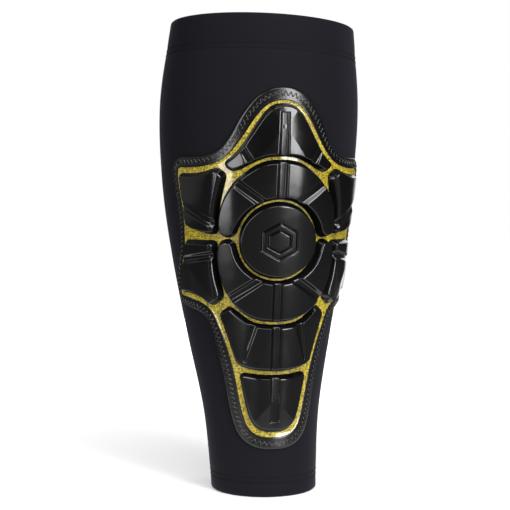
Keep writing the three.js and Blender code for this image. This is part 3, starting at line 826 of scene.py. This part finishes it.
def border_zigzag():
    middle, outward = evenly(flange_ring(ZIGZAG_MIDDLE), ZIGZAG_STEP)
    side = np.where(np.arange(len(middle)) % 2, 1.0, -1.0)[:, None] * ZIGZAG_REACH
    tips = middle + outward * side
    following = np.roll(tips, -1, 0)
    shares, rises = (0, 0.08, 0.2, 0.5, 0.8, 0.92), (-0.35, 0.16, 0.28, 0.08, 0.28, 0.16)
    flat = np.stack([tips + (following - tips) * t for t in shares], axis=1).reshape(-1, 2)
    rise = np.tile(rises, len(tips)) * MM
    points = panel_points(flat[:, 0], flat[:, 1], ZIGZAG_HEIGHT + rise)
    return thread("border_zigzag", points, BORDER_THREAD_RADIUS, BORDER_THREAD)


def across_line(line):
    """The direction across a line of the flat drawing, to its left."""
    (u0, v0), (u1, v1) = line
    length = math.hypot(u1 - u0, v1 - v0)
    return (v0 - v1) / length, (u1 - u0) / length


def beside(line, distance):
    """A point to the left of a line's start, in metres."""
    return tuple(c * MM + distance * a for c, a in zip(line[0], across_line(line)))


def height_share(facets, fall):
    """Height kept from place to place. A facet falls away by its slope from its lines, leftwards of them all,
    and the whole pad thins sideways by fall: (from, to, share lost)."""
    near, far, lost = fall

    def share(u, v):
        drop = np.zeros_like(u)
        for slope, *lines in facets:
            depths = []
            for line in lines:
                a, b = across_line(line)
                depths.append((u - line[0][0] * MM) * a + (v - line[0][1] * MM) * b)
            drop += slope * np.maximum(0, np.min(depths, axis=0))
        return (1 - drop / (PAD_TOP - PAD_BASE)) * (1 - lost * ease(near * MM, far * MM, np.abs(u)))

    return share


def groove_cutter(start, end, width=GROOVE_WIDTH, end_width=1.0, end_depth=1.0):
    """A tapered bar along a groove, wider at its top, that can fade towards its far end."""
    start, end = np.array(start) * MM, np.array(end) * MM
    along = (end - start) / np.linalg.norm(end - start)
    side = np.array((along[1], -along[0]))
    clear_selection()
    bpy.ops.mesh.primitive_cube_add(size=2)
    cutter = named("groove_cutter")
    rise = 3 * MM
    co = places(cutter)
    for i, (x, y, z) in enumerate(co.copy()):
        wide, deep = (width * end_width, GROOVE_DEPTH * end_depth) if y > 0 else (width, GROOVE_DEPTH)
        half = wide / 2 + GROOVE_SLOPE * (rise if z > 0 else -deep)
        at = (end if y > 0 else start) + side * x * max(half, GROOVE_NARROWEST)
        co[i] = (*at, PAD_TOP + (rise if z > 0 else -deep))
    move_to(cutter, co)
    edit_all(cutter)
    bpy.ops.mesh.normals_make_consistent(inside=False)
    leave()
    return cutter


def cut_away(piece, cutter):
    finish_with(piece, "BOOLEAN", object=cutter, operation="DIFFERENCE", solver="EXACT")
    bpy.data.objects.remove(cutter)


def raised(name, loop):
    """The outline drawn flat and raised into a plug with a short upright foot and leaning walls."""
    pad = drawn(moved_out(loop, PAD_SPREAD), name, PAD_BASE)
    edit_all(pad)
    bpy.ops.mesh.extrude_region_move(TRANSFORM_OT_translate={"value": (0, 0, PAD_FOOT)})
    bpy.ops.mesh.inset(thickness=WALL_RUN, depth=PAD_TOP - PAD_BASE - PAD_FOOT)
    bpy.ops.mesh.select_all(action="SELECT")
    bpy.ops.mesh.normals_make_consistent(inside=False)
    leave()
    return pad


SAME_POINT = 0.02 * MM
EDGE_ANGLE = math.radians(32)  # pads are rounded where they turn by more
PAD_GRID = (2.5 * MM, 6 * MM)


def make_pad(name, loop, grooves=(), facets=(), fall=(0, 1, 0), finish=None):
    """One pad: raised from its outline, grooved, finished, rounded, cut finely and laid on the leg."""
    pad = raised(name, loop)
    for groove in grooves:
        cut_away(pad, groove_cutter(**groove))
    if finish:
        finish(pad)
    edit_all(pad)
    bpy.ops.mesh.remove_doubles(threshold=SAME_POINT)
    leave()
    finish_with(pad, "BEVEL", width=EDGE_ROUND, segments=3, limit_method="ANGLE", angle_limit=EDGE_ANGLE,
                use_clamp_overlap=False)
    for _, *lines in facets:
        for line in lines:
            steps = (-FACET_EDGE, 0, FACET_EDGE)
            cut_lines(pad, [(beside(line, step), across_line(line)) for step in steps])
    cut_grid(pad, *PAD_GRID)
    lay_on_leg(pad, height_share(facets, fall))
    smooth(pad, 40)
    dress(pad, PAD_GLOSS)
    return pad


def mirror_groove(groove):
    return {**groove, "start": (-groove["start"][0], groove["start"][1]),
            "end": (-groove["end"][0], groove["end"][1])}


def mirror_facet(facet):
    slope, *lines = facet
    return (slope, *(((-b[0], b[1]), (-a[0], a[1])) for a, b in lines))


def mirror_outline(points):
    return [(-p[0], *p[1:]) for p in reversed(points)]


def both_sides(items, mirror):
    return [*items, *(mirror(item) for item in items)]


def engrave_emblem(disc):
    """Two plain six-sided lines, one inside the other, cut shallow in the disc's face."""
    for radius, line in EMBLEM:
        clear_selection()
        bpy.ops.mesh.primitive_circle_add(vertices=6, radius=radius, fill_type="NGON",
                                          location=(0, 0, PAD_TOP - EMBLEM_DEPTH))
        ring = named("emblem_cutter")
        bpy.ops.object.transform_apply(location=True)
        edit_all(ring)
        bpy.ops.mesh.inset(thickness=line)
        bpy.ops.mesh.delete(type="FACE")
        bpy.ops.mesh.select_all(action="SELECT")
        bpy.ops.mesh.extrude_region_move(TRANSFORM_OT_translate={"value": (0, 0, 2 * MM)})
        bpy.ops.mesh.select_all(action="SELECT")
        bpy.ops.mesh.normals_make_consistent(inside=False)
        leave()
        cut_away(disc, ring)


WINDOW = outline(whole_outline(WINDOW_HALF))

TOP_CAP_GROOVES = [
    dict(start=(0, 45), end=(0, 79), end_width=0.85, end_depth=0.7),
    *both_sides([dict(start=(-15.6, 43), end=(-24, 57.8), end_width=0.6, end_depth=0.2)], mirror_groove),
]
UPPER_ARC_GROOVES = [
    dict(start=(0, 21), end=(0, 54)),
    *both_sides([dict(start=(-7.7, 21.4), end=(-34.2, 42))], mirror_groove),
]
LOWER_ARC_GROOVES = [
    dict(start=(0, -55), end=(0, -21)),
    *both_sides([dict(start=(-7.7, -22.2), end=(-33.3, -40.6))], mirror_groove),
]
FAN_SIDE_GROOVE = dict(start=(-12, -44), end=(-17.6, -76), width=8 * MM, end_width=0.1, end_depth=0.15)
FAN_GROOVES = [
    dict(start=(0, -49), end=(0, -86)),
    *both_sides([FAN_SIDE_GROOVE], mirror_groove),
]
TOE_GROOVES = [dict(start=(0, -81), end=(0, -115.5), end_width=0.8, end_depth=0.15)]
UPPER_WING_GROOVES = [dict(start=(-72, 26.6), end=(-31, 7.4), width=WING_GROOVE_WIDTH)]
LOWER_WING_GROOVES = [dict(start=(-74, -14), end=(-31, -7.6), width=WING_GROOVE_WIDTH)]

# A facet is its slope and the lines it lies to the left of.
TOP_CAP_FACETS = both_sides(
    [(0.12, ((-14.3, 50.5), (-3.1, 66))), (0.03, ((-19.5, 44), (-26.5, 60)))], mirror_facet
)
FAN_FACETS = both_sides([(0.05, ((-9, -83), (-5, -63))), (0.1, ((-33, -57), (-22, -44)))], mirror_facet)
TOE_FACETS = [(0.1, ((0, -100), (-10, -113)), ((10, -113), (0, -100)))]
UPPER_WING_FACETS = [(0.6, ((-37.2, 42), (-40.6, 22)), ((-40.6, 22), (-41.4, 4)))]
LOWER_WING_FACETS = [
    (0.22, ((-60, -21.5), (-70, -33)), ((-36, -37), (-52, -21.5))),
    (0.6, ((-41.6, 0), (-40.6, -14)), ((-40.6, -14), (-36.2, -38))),
]

# How the pads thin sideways: from and to, in millimetres off the shin line, and the share of height lost.
CAP_FALL = (12, 32, 0.08)
FAN_FALL = (10, 32, 0.4)
TOE_FALL = (5, 20, 0.45)
WING_FALL = (40, 70, 0.58)

sleeve = make_sleeve()
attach(sleeve, "root")
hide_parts("sleeve_body")

STITCHING = [
    (hem_row("ankle_hem_stitches_lower", HEM_ROWS[0]), "ankle_hem_thread_lower"),
    (hem_row("ankle_hem_stitches_upper", HEM_ROWS[1]), "ankle_hem_thread_upper"),
    (hem_row("top_hem_stitches_lower", HEM_ROWS[2]), "top_hem_thread_lower"),
    (hem_row("top_hem_stitches_upper", HEM_ROWS[3]), "top_hem_thread_upper"),
    (back_seam(), "back_seam_thread"),
    (border_zigzag(), "border_zigzag_thread"),
]
for piece, node in STITCHING:
    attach(piece, "root")
    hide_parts(node)

backing = make_backing()
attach(backing, "root")
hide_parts("backing_sheet")

flange = make_flange()
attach(flange, "root")
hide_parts("border_flange")

DISC_SIDES = 96
turn = np.arange(DISC_SIDES) / DISC_SIDES * 2 * math.pi
DISC_OUTLINE = np.stack((-np.sin(turn), np.cos(turn)), axis=-1) * DISC_RADIUS



def shin_pad(name, half, *shaping):
    return make_pad(f"moulded_{name}", outline(whole_outline(half)), *shaping), name


PADS = [
    shin_pad("top_cap", TOP_CAP_HALF, TOP_CAP_GROOVES, TOP_CAP_FACETS, CAP_FALL),
    shin_pad("upper_arc", UPPER_ARC_HALF, UPPER_ARC_GROOVES),
    (make_pad("moulded_disc", DISC_OUTLINE, finish=engrave_emblem), "disc"),
    shin_pad("lower_arc", LOWER_ARC_HALF, LOWER_ARC_GROOVES),
    shin_pad("fan", FAN_HALF, FAN_GROOVES, FAN_FACETS, FAN_FALL),
    shin_pad("toe", TOE_HALF, TOE_GROOVES, TOE_FACETS, TOE_FALL),
]
for level, points, grooves, facets in (
    ("upper", UPPER_WING, UPPER_WING_GROOVES, UPPER_WING_FACETS),
    ("lower", LOWER_WING, LOWER_WING_GROOVES, LOWER_WING_FACETS),
):
    right = make_pad(f"moulded_{level}_wing_right", outline(points), grooves, facets, WING_FALL)
    grooves, facets = [mirror_groove(g) for g in grooves], [mirror_facet(f) for f in facets]
    left = make_pad(f"moulded_{level}_wing_left", outline(mirror_outline(points)), grooves, facets, WING_FALL)
    PADS += [(right, f"{level}_wing_right"), (left, f"{level}_wing_left")]

for pad, node in PADS:
    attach(pad, "root")
    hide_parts(f"{node}_skin", f"{node}_foam")

dress(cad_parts["top_hem_elastic"], ELASTIC_WEAVE)

# ---- Studio ----


def soft_light(name, place, aim, size, power):
    data = bpy.data.lights.new(name, "AREA")
    data.shape = "RECTANGLE"
    data.size, data.size_y = size
    data.energy = power
    lamp = bpy.data.objects.new(name, data)
    bpy.context.collection.objects.link(lamp)
    lamp.location = place
    lamp.rotation_euler = (Vector(aim) - Vector(place)).to_track_quat("-Z", "Y").to_euler()
    return lamp


def shown_white(tree, output, usual, shown):
    """What the camera sees directly is replaced by a plain pale glow, which lights nothing."""
    path = tree.nodes.new("ShaderNodeLightPath")
    mix = tree.nodes.new("ShaderNodeMixShader")
    join(tree, path.outputs["Is Camera Ray"], mix.inputs[0])
    join(tree, usual, mix.inputs[1])
    join(tree, shown, mix.inputs[2])
    join(tree, mix.outputs[0], output)


# The floor by distance from the middle of the leg, in metres: from, to, value near, value far.
FLOOR_GLOW = (0.16, 0.3, 1.2, 0.0)  # its light on the leg
FLOOR_PALENESS = (0.05, 0.8, 0.25, 1.0)  # to the camera
FLOOR_GREY = 0.13  # to everything else


def make_floor():
    """A pale floor: grey to everything but the camera, with a painted glow near the leg that lights it, and
    as pale as the backdrop away from the leg.
    """
    clear_selection()
    bpy.ops.mesh.primitive_plane_add(size=12, location=(0, 0, 0))
    floor = named("studio_floor")
    finish = Finish("pale_floor", 0.9)
    tree = finish.tree
    finish.set("Specular IOR Level", 0.0)
    length = tree.nodes.new("ShaderNodeVectorMath")
    length.operation = "LENGTH"
    join(tree, finish.vector, length.inputs[0])
    finish.set("Base Color", (FLOOR_GREY, FLOOR_GREY, FLOOR_GREY, 1))
    # Painted light: near the leg the floor glows, though it is no lamp, and lights the leg and shows in its
    # gloss.
    finish.set("Emission Strength", spread(tree, length.outputs["Value"], *FLOOR_GLOW))
    finish.set("Emission Color", (1, 1, 1, 1))
    grain = spread(tree, noise(tree, finish.vector, 35.0, 3.0), 0.3, 0.7, 0.99, 1.0)
    glow = tree.nodes.new("ShaderNodeEmission")
    paleness = spread(tree, length.outputs["Value"], *FLOOR_PALENESS)
    join(tree, maths(tree, "MULTIPLY", paleness, grain), glow.inputs["Strength"])
    pale = tree.nodes.new("ShaderNodeBsdfDiffuse")
    pale.inputs["Color"].default_value = (0.8, 0.8, 0.8, 1)
    both = tree.nodes.new("ShaderNodeAddShader")
    join(tree, glow.outputs[0], both.inputs[0])
    join(tree, pale.outputs[0], both.inputs[1])
    output = tree.nodes["Material Output"].inputs["Surface"]
    shown_white(tree, output, finish.shader.outputs[0], both.outputs[0])
    dress(floor, finish.material)


def make_world():
    world = bpy.data.worlds.new("studio")
    world.use_nodes = True
    tree = world.node_tree
    usual, shown = tree.nodes["Background"], tree.nodes.new("ShaderNodeBackground")
    usual.inputs["Strength"].default_value = 0.1
    usual.inputs["Color"].default_value = (1, 1, 1, 1)
    shown.inputs["Color"].default_value = (1, 1, 1, 1)
    shown_white(tree, tree.nodes["World Output"].inputs["Surface"], usual.outputs[0], shown.outputs[0])
    bpy.context.scene.world = world


make_floor()
make_world()
bpy.context.scene.view_settings.view_transform = "Standard"

MIDDLE = (0, -0.05, 0.16)


def standing_light(name, azimuth, distance, width, height, low, power):
    """An upright soft box on the floor, by its bearing from the front of the shin."""
    a = math.radians(azimuth)
    place = (distance * math.sin(a), -distance * math.cos(a), low + height / 2)
    return soft_light(name, place, (0, 0, low + height / 2), (width, height), power)


standing_light("right_box", 24, 0.85, 0.28, 0.9, 0.01, 10.5)
standing_light("left_box", -48, 0.65, 0.18, 0.8, 0.01, 3)
side_wash = standing_light("side_wash", 105, 0.8, 0.3, 0.8, 0.02, 3)
side_wash.visible_glossy = False
standing_light("rim_box", 150, 0.8, 0.3, 0.8, 0.02, 1.1)
standing_light("left_fill", -100, 1.2, 1.2, 1.0, 0.0, 1.1)
back_fill = standing_light("back_fill", 185, 1.2, 0.8, 1.0, 0.0, 9)
back_fill.visible_glossy = False
soft_light("top_box", (0.1, -0.7, 1.1), MIDDLE, (0.8, 0.5), 6)

# The camera stands in front of the leg and a little to its right, near the height of the round pad.
VIEW_TURN = math.radians(-12.3)
VIEW_DISTANCE = 0.8
BASE = Vector((0, -0.0156, 0))
AIM_HEIGHT = 0.1523
AIM_LEFT = 0.0061
CAMERA_HEIGHT = 0.1817

back = Vector((math.sin(VIEW_TURN), -math.cos(VIEW_TURN), 0))
right = Vector((math.cos(VIEW_TURN), math.sin(VIEW_TURN), 0))
camera = bpy.data.objects.new("camera", bpy.data.cameras.new("camera"))
bpy.context.collection.objects.link(camera)
camera.data.lens = 86.5
camera.location = BASE + back * VIEW_DISTANCE + Vector((0, 0, CAMERA_HEIGHT))
target = BASE - right * AIM_LEFT + Vector((0, 0, AIM_HEIGHT))
camera.rotation_euler = (target - camera.location).to_track_quat("-Z", "Y").to_euler()
camera.data.clip_start = 0.01
bpy.context.scene.camera = camera
